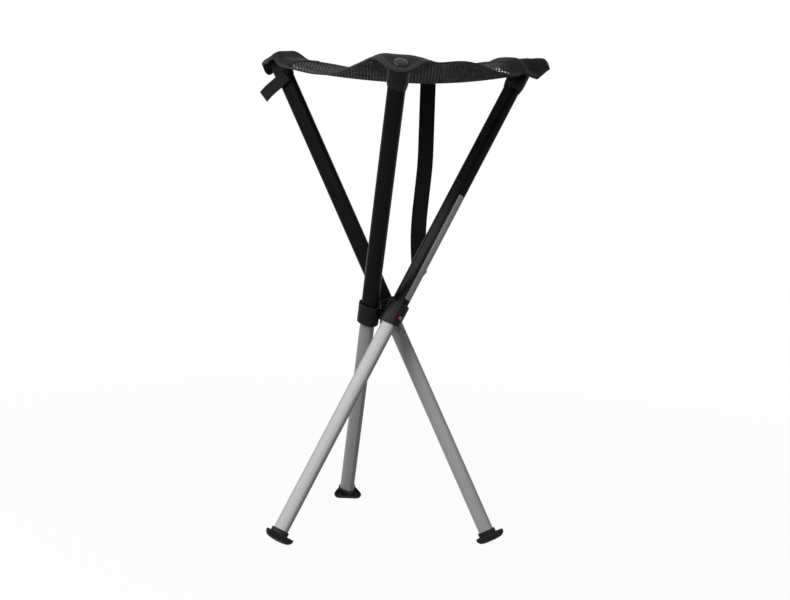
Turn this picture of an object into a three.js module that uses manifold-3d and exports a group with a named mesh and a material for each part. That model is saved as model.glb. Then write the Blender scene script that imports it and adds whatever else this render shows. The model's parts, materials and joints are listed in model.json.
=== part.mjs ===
import * as THREE from 'three';
import { mergeVertices } from 'three/addons/utils/BufferGeometryUtils.js';
import Module from 'manifold-3d';

const wasm = await Module();
wasm.setup();

const DEGREE = Math.PI / 180;

// Layout: three skew legs cross a hub. Each turns on a pin set radially in it.
const LEG_LEAN = 30 * DEGREE;
const WAIST_RADIUS = 24;
const UPPER_REACH = 450;
const LOWER_REACH = 380;
const FRONT_EDGE_SAG = 13;
const RIGHT_EDGE_SAG = 17;
const LEFT_EDGE_SAG = 29;
const FRONT_FLAP = 24;
const RIGHT_FLAP = 38;
const LEFT_FLAP = 36;
// edgeSag is how far the middle of the seat edge that starts at this leg hangs below the leg tops.
// The seat's corner cloth reaches flap past the rivet. Beyond the cap's rim it turns down by
// flapBend on the outside and by ridgeBend on the seat's side.
const LEGS = [
  {
    name: 'front',
    bearing: -90 * DEGREE,
    edgeSag: FRONT_EDGE_SAG,
    flap: FRONT_FLAP,
    flapBend: 8 * DEGREE,
    ridgeBend: 15 * DEGREE,
  },
  {
    name: 'right',
    bearing: 30 * DEGREE,
    edgeSag: RIGHT_EDGE_SAG,
    flap: RIGHT_FLAP,
    flapBend: 4 * DEGREE,
    ridgeBend: 32 * DEGREE,
  },
  {
    name: 'left',
    bearing: 150 * DEGREE,
    edgeSag: LEFT_EDGE_SAG,
    flap: LEFT_FLAP,
    flapBend: 60 * DEGREE,
    ridgeBend: 54 * DEGREE,
  },
];

// Clearances
const GAP = 0.3;
const SLIDE_GAP = 0.35;

// Rounded-triangle section shared by the tubes and by all that fits round or in them
const TUBE_ACROSS = 26.5;
const CORNER_RADIUS = 7.5;
const SIDE_RADIUS = 45;
const OUTER_WALL = 1.4;
const INNER_WALL = 1.3;
const SECTION_TURN = -90 * DEGREE;
const THIRD_TURN = 120 * DEGREE;
const HALF_TURN = 180 * DEGREE;
const CORNER_STEPS = 7;
const SIDE_STEPS = 3;
const ROUND_STEPS = 24;

// Hub sleeve
const SLEEVE_BELOW = 14;
const SLEEVE_ABOVE = 22;
const SLEEVE_WALL = 3.45;
const SLEEVE_LIP = 3;
const SLEEVE_BEVEL = 0.8;
const SLEEVE_BOSS_RADIUS = 8;

// Hub and its pins
const HUB_INRADIUS = 6.5;
const HUB_CORNER_RADIUS = 4;
const HUB_HEIGHT = 30;
const HUB_BOSS_RADIUS = 7.5;
const HUB_BOSS_FACE = 7.5;
const PIN_RADIUS = 2.5;
const PIN_HEAD_RADIUS = 4.5;
const PIN_HEAD_THICKNESS = 1.4;
const PIN_END_FROM_AXIS = 2.8;

// Lock button, with the spring and snap pin behind it
const BUTTON_RADIUS = 3.5;
const BUTTON_FLANGE_RADIUS = 4.2;
const BUTTON_FLANGE_THICKNESS = 0.8;
const BUTTON_DOME = 0.7;
const BUTTON_PROUD = 0.35;
const BUTTON_WELL_RADIUS = 5.3;
const BUTTON_WELL_DEPTH = 1.4;
const SNAP_RADIUS = 4.2;
const SPRING_WIDTH = 6;
const SPRING_THICKNESS = 0.8;
const SPRING_BELOW = 8;
const SPRING_SNAP_SIDE = 9.4;
const SPRING_BACK_SIDE = 7.4;
const SPRING_BEND_STEPS = 8;

// Top cap and rivet
const CAP_LENGTH = 36;
const CAP_TAPER = 9;
const CAP_WALL = 2.45;
const CAP_RIM_WALL = 0.7;
const CAP_PLATE = 6;
const CAP_PLUG = 20;
const CAP_BEVEL = 0.8;
const RIVET_RADIUS = 3;
const RIVET_HEAD_RADIUS = 11;
const RIVET_HEAD_EDGE = 0.8;
const RIVET_HEAD_DOME = 3.2;
const RIVET_LENGTH = 20;
const DOME_STEPS = 4;

// Inner tube and its glide bush
const INNER_ABOVE = 45;
const INNER_BELOW_RIM = 2;
const BUSH_FLANGE = 4;
const BUSH_PLUG = 10;
const BUSH_BORE_RADIUS = 5;

// Foot. The pads are as wide as lets them nest when the legs stand side by side.
const PAD_NEST_GAP = 0.5;
const PAD_CORNER_RADIUS = 6;
const PAD_TURN = 60 * DEGREE;
const PAD_CORNER_STEPS = 6;
const PAD_DEPTH = 10;
const PAD_WIDTH_SHARES = [0.3, 0.6, 0.82, 0.95, 1, 1, 0.97, 0.92, 0.75, 0.45];
const PAD_HEIGHT_SHARES = [-1, -0.92, -0.75, -0.45, -0.15, 0.03, 0.15, 0.05, -0.2, -0.15];
const COLLAR_WALL = 2.2;
const COLLAR_ABOVE = 8;
const COLLAR_ROOT = 4;
const COLLAR_BEVEL = 0.6;
const CONTACT_FLAT = 0.5;

// Seat: solid corner patches, a mesh panel and three hems
const PATCH_THICKNESS = 1.8;
const PATCH_OUT_HALF = 15;
const PATCH_IN = 32;
const PATCH_IN_HALF = 46;
const PATCH_END_RADIUS = 9;
const PATCH_BEND_RADIUS = 4;
const PATCH_END_STEPS = 3;
const PATCH_STEPS_ACROSS = 10;
const RIDGE_ARCH = 8;
const EDGE_BOW = 8;
const CENTRE_SAG = 45;
const PANEL_THICKNESS = 2;
const PANEL_CURVE = 2;
const PANEL_RINGS = 4;
const RIDGE_STEPS = 4;
const EDGE_STEPS = 10;
// Slots through the panel stand for the far finer mesh. Their rows run from front to back.
const SLOT_WIDTH = 22;
const SLOT_LENGTH = 40;
const SLOT_PITCH = 40;
const SLOT_ROW_PITCH = 54;
const SLOT_RIM = 7;
const SLOT_TURN = -6 * DEGREE;
const HEM_WIDTH = 12;
const HEM_THICKNESS = 3.2;
const HEM_BEVEL = 0.8;

// Webbing
const STRAP_WIDTH = 25;
const STRAP_THICKNESS = 1.5;
const STRAP_LENGTH = 323;
const STRAP_POINT = 12;
const STRAP_POINT_WIDTH = 3;
const STRAP_EDGE_SHARE = 0.352;
const TAIL_WIDTH = 20;
const TAIL_THICKNESS = 1.6;
const TAIL_GAP = 0.5;
const TAIL_FROM_TOP = 31;
const TAIL_WRAP_START = -10 * DEGREE;
const TAIL_WRAP_END = 4 * DEGREE;
const TAIL_WRAP_STEPS = 4;
const TAIL_TURN = 26 * DEGREE;
const TAIL_BEND = 3;
const TAIL_LENGTH = 48;
const TAIL_DIP = 8 * DEGREE;

// Derived section numbers: corner arcs and the long side arcs meet in tangent
const SIDE_SHIFT = SIDE_RADIUS + CORNER_RADIUS - TUBE_ACROSS;
const ARC_CENTRES_APART = SIDE_RADIUS - CORNER_RADIUS;
const CORNER_CENTRE = (Math.sqrt(12 * ARC_CENTRES_APART ** 2 - 3 * SIDE_SHIFT ** 2) - 3 * SIDE_SHIFT) / 6;
const SIDE_CENTRE = CORNER_CENTRE + SIDE_SHIFT;
const FLAT_DISTANCE = SIDE_RADIUS - SIDE_CENTRE;
const APEX_DISTANCE = CORNER_CENTRE + CORNER_RADIUS;
const CORNER_SPAN = Math.asin(SIDE_CENTRE * Math.sin(THIRD_TURN / 2) / ARC_CENTRES_APART);

// Derived fits, as offsets of the outer tube's outside
const OUTER_BORE = -OUTER_WALL;
const INNER_OUTSIDE = OUTER_BORE - SLIDE_GAP;
const INNER_BORE = INNER_OUTSIDE - INNER_WALL;
const SLEEVE_OUTSIDE = GAP + SLEEVE_WALL;
const CAP_OUTSIDE = GAP + CAP_WALL;
const TUBE_BOTTOM = -SLEEVE_BELOW + SLEEVE_LIP + GAP;
const TUBE_TOP = UPPER_REACH - CAP_PLATE - GAP;
const PIN_HEAD_FACE = FLAT_DISTANCE + GAP;
const PIN_SHOULDER = PIN_HEAD_FACE + PIN_HEAD_THICKNESS;
const SLEEVE_BOSS_FACE = WAIST_RADIUS - HUB_BOSS_FACE - GAP;
const BUTTON_BACK = APEX_DISTANCE + GAP;
const BUTTON_SHOULDER = BUTTON_BACK + BUTTON_FLANGE_THICKNESS;
const SLEEVE_APEX = APEX_DISTANCE + SLEEVE_OUTSIDE;
const SNAP_END = APEX_DISTANCE - GAP;
const CAP_HALF_WIDTH = CORNER_CENTRE * Math.cos(THIRD_TURN / 4) + CORNER_RADIUS + CAP_OUTSIDE;
const PATCH_BOTTOM = UPPER_REACH + GAP;
const PATCH_TOP = PATCH_BOTTOM + PATCH_THICKNESS;
const RIVET_SEAT = PATCH_TOP + GAP;
const CORNER_TURN = Math.atan2(WAIST_RADIUS, UPPER_REACH * Math.sin(LEG_LEAN));
const PATCH_TURN = Math.atan2(Math.sin(CORNER_TURN), Math.cos(CORNER_TURN) / Math.cos(LEG_LEAN));
const PAD_ACROSS = Math.sqrt(3) * WAIST_RADIUS - PAD_NEST_GAP;
const PAD_INRADIUS = (PAD_ACROSS + PAD_CORNER_RADIUS) / 3;

// Closed surface through rings that have the same number of points. With joined, the last ring
// leads back to the first one, otherwise both end rings are filled in.
function loft(rings, joined = false) {
  const count = rings[0].length;
  const positions = rings.flat().flatMap((point) => [point.x, point.y, point.z]);
  const index = [];
  const spans = joined ? rings.length : rings.length - 1;
  for (let ring = 0; ring < spans; ring += 1) {
    const low = ring * count;
    const high = ((ring + 1) % rings.length) * count;
    for (let step = 0; step < count; step += 1) {
      const next = (step + 1) % count;
      index.push(low + step, low + next, high + next);
      index.push(low + step, high + next, high + step);
    }
  }
  if (!joined) {
    const last = (rings.length - 1) * count;
    for (let step = 1; step < count - 1; step += 1) {
      index.push(0, step + 1, step);
      index.push(last, last + step, last + step + 1);
    }
  }
  const geometry = new THREE.BufferGeometry();
  geometry.setAttribute('position', new THREE.Float32BufferAttribute(positions, 3));
  geometry.setIndex(index);
  return facingOut(geometry);
}

function facingOut(geometry) {
  const position = geometry.attributes.position;
  const index = geometry.index.array;
  const [a, b, c] = [new THREE.Vector3(), new THREE.Vector3(), new THREE.Vector3()];
  let volume = 0;
  for (let corner = 0; corner < index.length; corner += 3) {
    a.fromBufferAttribute(position, index[corner]);
    b.fromBufferAttribute(position, index[corner + 1]);
    c.fromBufferAttribute(position, index[corner + 2]);
    volume += a.dot(b.cross(c));
  }
  if (volume < 0) {
    for (let corner = 0; corner < index.length; corner += 3) {
      [index[corner + 1], index[corner + 2]] = [index[corner + 2], index[corner + 1]];
    }
  }
  return geometry;
}

function toSolid(geometry) {
  const plain = geometry.clone();
  plain.deleteAttribute('normal');
  plain.deleteAttribute('uv');
  const merged = mergeVertices(plain);
  return new wasm.Manifold(new wasm.Mesh({
    numProp: 3,
    vertProperties: new Float32Array(merged.attributes.position.array),
    triVerts: new Uint32Array(merged.index.array),
  }));
}

function toGeometry(solid) {
  const mesh = solid.getMesh();
  const geometry = new THREE.BufferGeometry();
  geometry.setAttribute('position', new THREE.Float32BufferAttribute(mesh.vertProperties, 3));
  geometry.setIndex(new THREE.Uint32BufferAttribute(mesh.triVerts, 1));
  return geometry;
}

// Joins the added geometries into one body, then takes the removed ones out of it.
function shaped(added, removed = []) {
  let body = toSolid(added[0]);
  for (const piece of added.slice(1)) {
    body = body.add(toSolid(piece));
  }
  for (const piece of removed) {
    body = body.subtract(toSolid(piece));
  }
  return toGeometry(body);
}

function arc(centreAngle, centreDistance, radius, from, to, steps, height) {
  const points = [];
  for (let step = 0; step <= steps; step += 1) {
    const angle = from + (to - from) * step / steps;
    points.push(new THREE.Vector3(
      Math.cos(centreAngle) * centreDistance + Math.cos(angle) * radius,
      Math.sin(centreAngle) * centreDistance + Math.sin(angle) * radius,
      height,
    ));
  }
  return points;
}

function circle(radius, height) {
  return arc(0, 0, radius, 0, 2 * HALF_TURN, ROUND_STEPS, height).slice(0, ROUND_STEPS);
}

// The tube section, offset outward by grow
function ovalRing(grow, height) {
  const points = [];
  for (let corner = 0; corner < 3; corner += 1) {
    const apex = SECTION_TURN + corner * THIRD_TURN;
    const side = apex + THIRD_TURN / 2;
    const leave = apex + CORNER_SPAN;
    const arrive = apex + THIRD_TURN - CORNER_SPAN;
    points.push(...arc(
      apex, CORNER_CENTRE, CORNER_RADIUS + grow, apex - CORNER_SPAN, leave, CORNER_STEPS, height,
    ));
    points.push(...arc(
      side + HALF_TURN, SIDE_CENTRE, SIDE_RADIUS + grow, leave, arrive, SIDE_STEPS, height,
    ).slice(1, SIDE_STEPS));
  }
  return points;
}

function triangleRing(inradius, cornerRadius, turn, steps, height) {
  const reach = 2 * (inradius - cornerRadius);
  const points = [];
  for (let corner = 0; corner < 3; corner += 1) {
    const apex = turn + corner * THIRD_TURN;
    const half = THIRD_TURN / 2;
    points.push(...arc(apex, reach, cornerRadius, apex - half, apex + half, steps, height));
  }
  return points;
}

// Closed slab between two grids of points that have the same rows and columns
function slab(under, over) {
  const rows = under.length;
  const columns = under[0].length;
  const positions = [under, over].flat(2).flatMap((point) => [point.x, point.y, point.z]);
  const at = (face, row, column) => (face * rows + row) * columns + column;
  const index = [];
  const quad = (a, b, c, d) => index.push(a, b, c, a, c, d);
  for (let row = 0; row < rows; row += 1) {
    const next = row + 1;
    if (next < rows) {
      quad(at(0, row, 0), at(1, row, 0), at(1, next, 0), at(0, next, 0));
      quad(at(0, next, columns - 1), at(1, next, columns - 1), at(1, row, columns - 1), at(0, row, columns - 1));
    }
    for (let column = 1; column < columns; column += 1) {
      const last = column - 1;
      if (row === 0) {
        quad(at(0, row, column), at(1, row, column), at(1, row, last), at(0, row, last));
      }
      if (next === rows) {
        quad(at(0, row, last), at(1, row, last), at(1, row, column), at(0, row, column));
      } else {
        quad(at(0, row, last), at(0, next, last), at(0, next, column), at(0, row, column));
        quad(at(1, row, column), at(1, next, column), at(1, next, last), at(1, row, last));
      }
    }
  }
  const geometry = new THREE.BufferGeometry();
  geometry.setAttribute('position', new THREE.Float32BufferAttribute(positions, 3));
  geometry.setIndex(index);
  return facingOut(geometry);
}

function ovalPrism(grow, bottom, top) {
  return loft([ovalRing(grow, bottom), ovalRing(grow, top)]);
}

function ovalPipe(outside, bore, bottom, top) {
  return loft([
    ovalRing(outside, bottom),
    ovalRing(outside, top),
    ovalRing(bore, top),
    ovalRing(bore, bottom),
  ], true);
}

// A round bar along Z, through pairs of radius and height
function turned(profile) {
  return loft(profile.map(([radius, height]) => circle(radius, height)));
}

// The same along the Y axis: positive heights point to the hub, or away from it with outward
function turnedAcross(profile, outward = false) {
  return turned(profile).rotateX(outward ? HALF_TURN / 2 : -HALF_TURN / 2);
}

function dome(radius, base, rise) {
  const profile = [];
  for (let step = 0; step < DOME_STEPS; step += 1) {
    const angle = HALF_TURN / 2 * step / DOME_STEPS;
    profile.push([radius * Math.cos(angle), base + rise * Math.sin(angle)]);
  }
  return profile;
}

// A flat band of even width along X that follows a path in the plane of Y and Z
function ribbon(path, width, thickness) {
  const rings = path.map((point, step) => {
    const before = path[Math.max(step - 1, 0)];
    const after = path[Math.min(step + 1, path.length - 1)];
    const run = new THREE.Vector2(after[0] - before[0], after[1] - before[1]).normalize();
    const side = new THREE.Vector2(-run.y, run.x).multiplyScalar(thickness / 2);
    return [[-1, -1], [1, -1], [1, 1], [-1, 1]].map(([across, through]) => new THREE.Vector3(
      across * width / 2,
      point[0] + through * side.x,
      point[1] + through * side.y,
    ));
  });
  return loft(rings);
}

function hubSleeve() {
  const bottom = -SLEEVE_BELOW;
  const lipTop = bottom + SLEEVE_LIP;
  const bevelled = SLEEVE_OUTSIDE - SLEEVE_BEVEL;
  const shell = loft([
    ovalRing(bevelled, bottom),
    ovalRing(SLEEVE_OUTSIDE, bottom + SLEEVE_BEVEL),
    ovalRing(SLEEVE_OUTSIDE, SLEEVE_ABOVE - SLEEVE_BEVEL),
    ovalRing(bevelled, SLEEVE_ABOVE),
    ovalRing(GAP, SLEEVE_ABOVE),
    ovalRing(GAP, lipTop),
    ovalRing(OUTER_BORE, lipTop),
    ovalRing(OUTER_BORE, bottom),
  ], true);
  const recessFloor = PIN_SHOULDER + GAP;
  const boss = turnedAcross([[SLEEVE_BOSS_RADIUS, recessFloor], [SLEEVE_BOSS_RADIUS, SLEEVE_BOSS_FACE]]);
  const pinRecess = turnedAcross([[PIN_HEAD_RADIUS + GAP, 0], [PIN_HEAD_RADIUS + GAP, recessFloor]]);
  const pinBore = turnedAcross([[PIN_RADIUS + GAP, 0], [PIN_RADIUS + GAP, WAIST_RADIUS]]);
  const flangeRecess = turnedAcross([
    [BUTTON_FLANGE_RADIUS + GAP, 0],
    [BUTTON_FLANGE_RADIUS + GAP, BUTTON_SHOULDER + GAP],
  ], true);
  const buttonBore = turnedAcross([
    [BUTTON_RADIUS + GAP, 0],
    [BUTTON_RADIUS + GAP, SLEEVE_APEX + GAP],
  ], true);
  const well = turnedAcross([
    [BUTTON_WELL_RADIUS, SLEEVE_APEX - BUTTON_WELL_DEPTH],
    [BUTTON_WELL_RADIUS, SLEEVE_APEX + GAP],
  ], true);
  return shaped([shell, boss], [pinRecess, pinBore, flangeRecess, buttonBore, well]);
}

function snapHole() {
  return turnedAcross([[SNAP_RADIUS + GAP, 0], [SNAP_RADIUS + GAP, SLEEVE_APEX]], true);
}

function outerTube() {
  return shaped([ovalPipe(0, OUTER_BORE, TUBE_BOTTOM, TUBE_TOP)], [snapHole()]);
}

function innerTube() {
  const bottom = -LOWER_REACH - INNER_BELOW_RIM;
  return shaped([ovalPipe(INNER_OUTSIDE, INNER_BORE, bottom, INNER_ABOVE)], [snapHole()]);
}

function glideBush() {
  const step = INNER_ABOVE + GAP;
  const plug = INNER_BORE - GAP;
  const flange = OUTER_BORE - GAP;
  const body = loft([
    ovalRing(plug, step - BUSH_PLUG),
    ovalRing(plug, step),
    ovalRing(flange, step),
    ovalRing(flange, step + BUSH_FLANGE),
  ]);
  const bore = turned([
    [BUSH_BORE_RADIUS, step - BUSH_PLUG - GAP],
    [BUSH_BORE_RADIUS, step + BUSH_FLANGE + GAP],
  ]);
  return shaped([body], [bore]);
}

function topCap() {
  const bottom = UPPER_REACH - CAP_LENGTH;
  const body = loft([
    ovalRing(GAP + CAP_RIM_WALL, bottom),
    ovalRing(CAP_OUTSIDE, bottom + CAP_TAPER),
    ovalRing(CAP_OUTSIDE, UPPER_REACH - CAP_BEVEL),
    ovalRing(CAP_OUTSIDE - CAP_BEVEL, UPPER_REACH),
  ]);
  const groove = ovalPipe(GAP, OUTER_BORE - GAP, bottom - GAP, TUBE_TOP + GAP);
  const hollow = ovalPrism(GAP, bottom - GAP, TUBE_TOP + GAP - CAP_PLUG);
  const bore = turned([[RIVET_RADIUS + GAP, bottom], [RIVET_RADIUS + GAP, UPPER_REACH + GAP]]);
  return shaped([body], [groove, hollow, bore]);
}

function seatRivet() {
  return turned([
    [RIVET_RADIUS, RIVET_SEAT - RIVET_LENGTH],
    [RIVET_RADIUS, RIVET_SEAT],
    [RIVET_HEAD_RADIUS, RIVET_SEAT],
    ...dome(RIVET_HEAD_RADIUS, RIVET_SEAT + RIVET_HEAD_EDGE, RIVET_HEAD_DOME),
  ]);
}

function lockButton() {
  const top = SLEEVE_APEX + BUTTON_PROUD - BUTTON_DOME;
  return turnedAcross([
    [BUTTON_FLANGE_RADIUS, BUTTON_BACK],
    [BUTTON_FLANGE_RADIUS, BUTTON_SHOULDER],
    [BUTTON_RADIUS, BUTTON_SHOULDER],
    ...dome(BUTTON_RADIUS, top, BUTTON_DOME),
  ], true);
}

function pivotPin() {
  return turnedAcross([
    [PIN_HEAD_RADIUS, PIN_HEAD_FACE],
    [PIN_HEAD_RADIUS, PIN_SHOULDER],
    [PIN_RADIUS, PIN_SHOULDER],
    [PIN_RADIUS, WAIST_RADIUS - PIN_END_FROM_AXIS],
  ]);
}

function lockSpring() {
  const bendRadius = (SPRING_SNAP_SIDE + SPRING_BACK_SIDE) / 2;
  const bendCentre = (SPRING_BACK_SIDE - SPRING_SNAP_SIDE) / 2;
  const reach = INNER_ABOVE - BUSH_PLUG - SPRING_THICKNESS / 2;
  const bendBase = reach - bendRadius;
  const path = [[-SPRING_SNAP_SIDE, -SPRING_BELOW]];
  for (let step = 0; step <= SPRING_BEND_STEPS; step += 1) {
    const angle = HALF_TURN * (1 - step / SPRING_BEND_STEPS);
    path.push([bendCentre + Math.cos(angle) * bendRadius, bendBase + Math.sin(angle) * bendRadius]);
  }
  path.push([SPRING_BACK_SIDE, -SPRING_BELOW]);
  const snap = turnedAcross([[SNAP_RADIUS, SPRING_SNAP_SIDE], [SNAP_RADIUS, SNAP_END]], true);
  return shaped([ribbon(path, SPRING_WIDTH, SPRING_THICKNESS), snap]);
}

function foot() {
  const rim = -LOWER_REACH;
  const pad = loft(PAD_WIDTH_SHARES.map((share, step) => triangleRing(
    PAD_INRADIUS * share,
    PAD_CORNER_RADIUS * share,
    PAD_TURN,
    PAD_CORNER_STEPS,
    rim + PAD_DEPTH * PAD_HEIGHT_SHARES[step],
  )));
  const socket = INNER_OUTSIDE + GAP;
  const outside = socket + COLLAR_WALL;
  const top = rim + COLLAR_ABOVE;
  const collar = loft([
    ovalRing(outside, rim - COLLAR_ROOT),
    ovalRing(outside, top - COLLAR_BEVEL),
    ovalRing(outside - COLLAR_BEVEL, top),
  ]);
  const hollow = ovalPrism(socket, rim - INNER_BELOW_RIM - GAP, top + GAP);
  return shaped([pad, collar], [hollow]);
}

// Place on a leg in the seat's corner frame: outward from the rivet, across, and up the leg
function cornerPlace(out, across, height) {
  return new THREE.Vector3(
    out * Math.cos(PATCH_TURN) + across * Math.sin(PATCH_TURN),
    across * Math.cos(PATCH_TURN) - out * Math.sin(PATCH_TURN),
    height,
  );
}

// Place on a leg in its corner cloth: reach from the rivet along the cloth, outward, then across
// it, and lift above its underside. The cloth lies flat on the cap and turns down past its rim.
function clothPlace(leg, reach, across, lift) {
  const bend = reach > 0 ? leg.flapBend : leg.ridgeBend;
  const past = Math.max(Math.abs(reach) - CAP_HALF_WIDTH, 0);
  const turn = Math.min(past / PATCH_BEND_RADIUS, bend);
  const straight = past - turn * PATCH_BEND_RADIUS;
  const out = Math.min(Math.abs(reach), CAP_HALF_WIDTH)
    + (PATCH_BEND_RADIUS + lift) * Math.sin(turn) + straight * Math.cos(turn);
  const down = PATCH_BEND_RADIUS * (1 - Math.cos(turn)) + straight * Math.sin(turn);
  const side = Math.max(Math.abs(across) - CAP_HALF_WIDTH, 0) / (PATCH_IN_HALF - CAP_HALF_WIDTH);
  const height = PATCH_BOTTOM + lift * Math.cos(turn) - down - RIDGE_ARCH * side ** 2;
  return cornerPlace(Math.sign(reach) * out, across, height);
}

function cornerPatch(leg) {
  const end = leg.flap - PATCH_END_RADIUS;
  const bends = [-1, 0, 1].map((step) => [
    -CAP_HALF_WIDTH - PATCH_BEND_RADIUS * leg.ridgeBend * (1 + step) / 2,
    CAP_HALF_WIDTH + PATCH_BEND_RADIUS * leg.flapBend * (1 + step) / 2,
  ]).flat();
  const reaches = [-PATCH_IN, 0, ...bends.filter((reach) => reach < end)];
  for (let step = 0; step <= PATCH_END_STEPS; step += 1) {
    reaches.push(end + PATCH_END_RADIUS * Math.sin(HALF_TURN / 2 * step / PATCH_END_STEPS));
  }
  reaches.sort((one, other) => one - other);
  const grids = [0, PATCH_THICKNESS].map((lift) => reaches.map((reach) => {
    const share = (reach + PATCH_IN) / (leg.flap + PATCH_IN);
    const straight = PATCH_IN_HALF + (PATCH_OUT_HALF - PATCH_IN_HALF) * share;
    const past = Math.max(reach - end, 0);
    const half = straight - PATCH_END_RADIUS + Math.sqrt(PATCH_END_RADIUS ** 2 - past ** 2);
    const row = [];
    for (let step = 0; step <= PATCH_STEPS_ACROSS; step += 1) {
      row.push(clothPlace(leg, reach, half * (2 * step / PATCH_STEPS_ACROSS - 1), lift));
    }
    return row;
  }));
  const hole = turned([[RIVET_RADIUS + GAP, UPPER_REACH], [RIVET_RADIUS + GAP, PATCH_TOP + GAP]]);
  return shaped([slab(...grids)], [hole]);
}

// The tail lies on the cap's side that faces the hub, then bends away from it and runs outward
function strapTail() {
  const radius = SIDE_RADIUS + CAP_OUTSIDE + TAIL_GAP + TAIL_THICKNESS / 2;
  const path = [];
  for (let step = 0; step <= TAIL_WRAP_STEPS; step += 1) {
    const angle = TAIL_WRAP_START + (TAIL_WRAP_END - TAIL_WRAP_START) * step / TAIL_WRAP_STEPS;
    path.push([radius * Math.sin(angle), radius * Math.cos(angle) - SIDE_CENTRE]);
  }
  const aims = [[(TAIL_TURN - TAIL_WRAP_END) / 2, TAIL_BEND], [TAIL_TURN, TAIL_LENGTH]];
  for (const [aim, length] of aims) {
    const [x, y] = path[path.length - 1];
    path.push([x + length * Math.cos(aim), y + length * Math.sin(aim)]);
  }
  const upright = new THREE.Matrix4().makeBasis(
    new THREE.Vector3(0, 0, 1), new THREE.Vector3(1, 0, 0), new THREE.Vector3(0, 1, 0),
  );
  return ribbon(path, TAIL_WIDTH, TAIL_THICKNESS)
    .applyMatrix4(upright)
    .rotateY(TAIL_DIP)
    .translate(0, 0, UPPER_REACH - TAIL_FROM_TOP);
}

// Point of the seat beside the inner end of a leg's corner cloth, clear of that end's slope
function ridgePoint(leg, across) {
  const slope = Math.abs(Math.sin(LEG_LEAN - leg.ridgeBend));
  const reach = PATCH_IN + GAP + slope * PATCH_THICKNESS / 2;
  return leg.group.localToWorld(clothPlace(leg, -reach, across, PATCH_THICKNESS / 2));
}

// Points of a seat edge between two legs, set in from the patches' corners by inset and then
// bowed towards the seat's middle and sagged
function edgeLine(from, to, inset) {
  const half = PATCH_IN_HALF - inset / Math.cos(THIRD_TURN / 4);
  const start = ridgePoint(from, half);
  const end = ridgePoint(to, -half);
  const inward = new THREE.Vector3(start.y - end.y, end.x - start.x, 0).normalize();
  const drop = (start.z + end.z) / 2 - (from.topHeight - from.edgeSag);
  const points = [];
  for (let step = 0; step <= EDGE_STEPS; step += 1) {
    const share = step / EDGE_STEPS;
    const swell = 4 * share * (1 - share);
    const point = start.clone().lerp(end, share).addScaledVector(inward, EDGE_BOW * swell);
    point.z -= drop * swell;
    points.push(point);
  }
  return points;
}

function seatHem(from, to) {
  const outside = edgeLine(from, to, 0);
  const inside = edgeLine(from, to, HEM_WIDTH);
  const half = HEM_THICKNESS / 2;
  const bevelShare = HEM_BEVEL / HEM_WIDTH;
  const section = [
    [bevelShare, -half],
    [1 - bevelShare, -half],
    [1, -half + HEM_BEVEL],
    [1, half - HEM_BEVEL],
    [1 - bevelShare, half],
    [bevelShare, half],
    [0, half - HEM_BEVEL],
    [0, -half + HEM_BEVEL],
  ];
  return loft(outside.map((point, step) => section.map(([share, lift]) => {
    const place = inside[step].clone().lerp(point, share);
    place.z += lift;
    return place;
  })));
}

// How far a level place lies inside a border that runs counter-clockwise, below zero outside it
function depthInside(border, place) {
  const depths = border.map((from, step) => {
    const edge = new THREE.Line3(from.clone(), border[(step + 1) % border.length].clone());
    edge.start.z = 0;
    edge.end.z = 0;
    const away = place.clone().sub(edge.closestPointToPoint(place, true, new THREE.Vector3()));
    const run = edge.delta(new THREE.Vector3());
    return away.length() * Math.sign(run.x * away.y - run.y * away.x);
  });
  return depths.reduce((least, depth) => (Math.abs(depth) < Math.abs(least) ? depth : least));
}

function panelSlots(border, height) {
  const reach = Math.max(...border.map((point) => Math.hypot(point.x, point.y)));
  const upright = new THREE.Vector3(0, 0, 1);
  const slots = [];
  for (let row = -Math.ceil(reach / SLOT_ROW_PITCH); row * SLOT_ROW_PITCH < reach; row += 1) {
    for (let step = -Math.ceil(reach / SLOT_PITCH); step * SLOT_PITCH < reach; step += 1) {
      const centre = [(step + 1 / 2) * SLOT_PITCH, (row + 1 / 2) * SLOT_ROW_PITCH];
      const depths = [[-1, -1], [1, -1], [1, 1], [-1, 1]].map(([side, end]) => {
        const x = centre[0] + side * SLOT_WIDTH / 2;
        const y = centre[1] + end * SLOT_LENGTH / 2;
        return depthInside(border, new THREE.Vector3(x, y, 0).applyAxisAngle(upright, SLOT_TURN));
      });
      if (Math.min(...depths) > SLOT_RIM) {
        const slot = new THREE.BoxGeometry(SLOT_WIDTH, SLOT_LENGTH, 4 * CENTRE_SAG);
        slots.push(slot.translate(...centre, 0).rotateZ(SLOT_TURN).translate(0, 0, height));
      }
    }
  }
  return slots;
}

function seatPanel(placed) {
  const border = placed.flatMap((leg, place) => {
    const next = placed[(place + 1) % placed.length];
    const edge = edgeLine(leg, next, HEM_WIDTH + GAP);
    const half = PATCH_IN_HALF - (HEM_WIDTH + GAP) / Math.cos(THIRD_TURN / 4);
    const ridge = [];
    for (let step = 1; step < RIDGE_STEPS; step += 1) {
      ridge.push(ridgePoint(next, half * (2 * step / RIDGE_STEPS - 1)));
    }
    return [...edge, ...ridge];
  });
  const centre = placed[0].topHeight - CENTRE_SAG;
  const rings = [[-1, PANEL_RINGS], [1, PANEL_RINGS]].map(([face, count]) => {
    const list = [];
    for (let ring = 1; ring <= count; ring += 1) {
      const share = ring / count;
      list.push(border.map((point) => new THREE.Vector3(
        point.x * share,
        point.y * share,
        centre + (point.z - centre) * share ** PANEL_CURVE + face * PANEL_THICKNESS / 2,
      )));
    }
    return list;
  });
  const sheet = loft([...rings[0], ...rings[1].reverse()]);
  return shaped([sheet], panelSlots(border, centre));
}

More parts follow.
